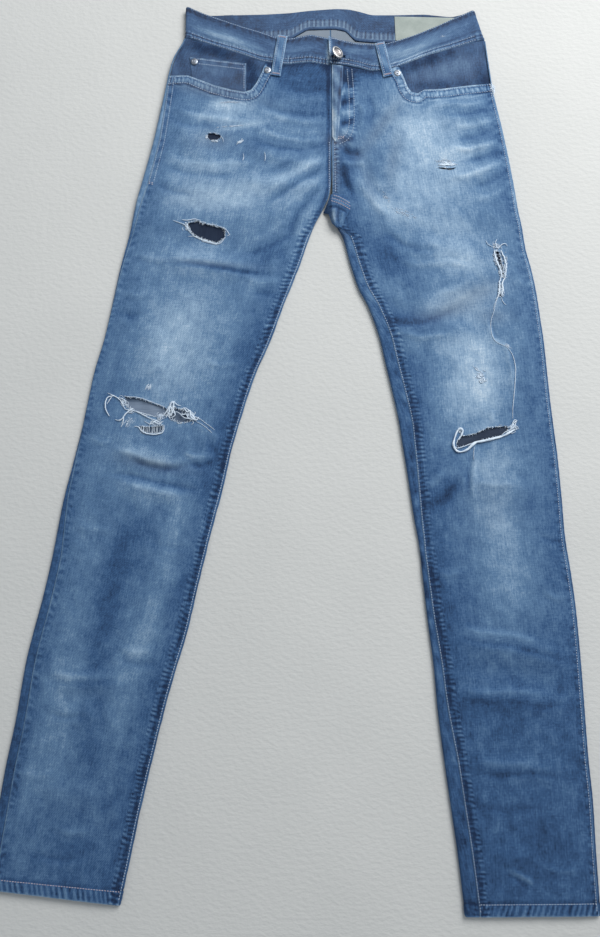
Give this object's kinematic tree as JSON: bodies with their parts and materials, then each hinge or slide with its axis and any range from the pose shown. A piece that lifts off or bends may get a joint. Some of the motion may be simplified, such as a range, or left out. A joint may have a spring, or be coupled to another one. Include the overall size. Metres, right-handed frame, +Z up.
{
  "type": "ripped skinny jeans lying flat",
  "caption": "Faded blue stretch-denim jeans with a skinny leg, laid flat front up, with open rips at the thigh and knees, frayed edges, pockets, a waist button and rivets.",
  "frame": {"origin": "middle of the underside of the jeans' box, on the surface that they lie on", "axes": "+Y from the hems to the waist, +X towards the wearer's left leg, +Z up from the surface"},
  "size_m": [0.702, 1.122, 0.0212],
  "materials": {
    "denim": "faded twill denim with worn, whiskered places",
    "pocket_cloth": "dark woven pocket lining",
    "dark_cloth": "dark woven backing cloth",
    "frayed_white": "frayed white cotton yarn",
    "label_cloth": "plain pale woven label",
    "button_metal": "worn, aged silver-coloured metal",
    "rivet_metal": "worn, aged silver-coloured metal"
  },
  "bodies": {
    "root": {"front_right_panel": "denim", "front_left_panel": "denim", "back_right_panel": "denim", "back_left_panel": "denim", "back_yoke_right": "denim", "back_yoke_left": "denim", "waistband": "denim", "pocket_facing_right": "denim", "pocket_facing_left": "denim", "coin_pocket": "denim", "fly_edge": "denim", "back_pocket_right": "denim", "back_pocket_left": "denim", "belt_loop_front_right": "denim", "belt_loop_front_left": "denim", "belt_loop_back_right": "denim", "belt_loop_back_centre": "denim", "belt_loop_back_left": "denim", "crotch_fold": "denim", "pocket_bag_right": "pocket_cloth", "right_knee_backing": "dark_cloth", "side_rip_backing": "dark_cloth", "left_knee_backing": "dark_cloth", "left_knee_rolled_edge": "frayed_white", "inner_label": "label_cloth", "waist_button": "button_metal", "rivet_coin_pocket": "rivet_metal", "rivet_right_pocket": "rivet_metal", "rivet_left_pocket": "rivet_metal"}
  },
  "joints": []
}
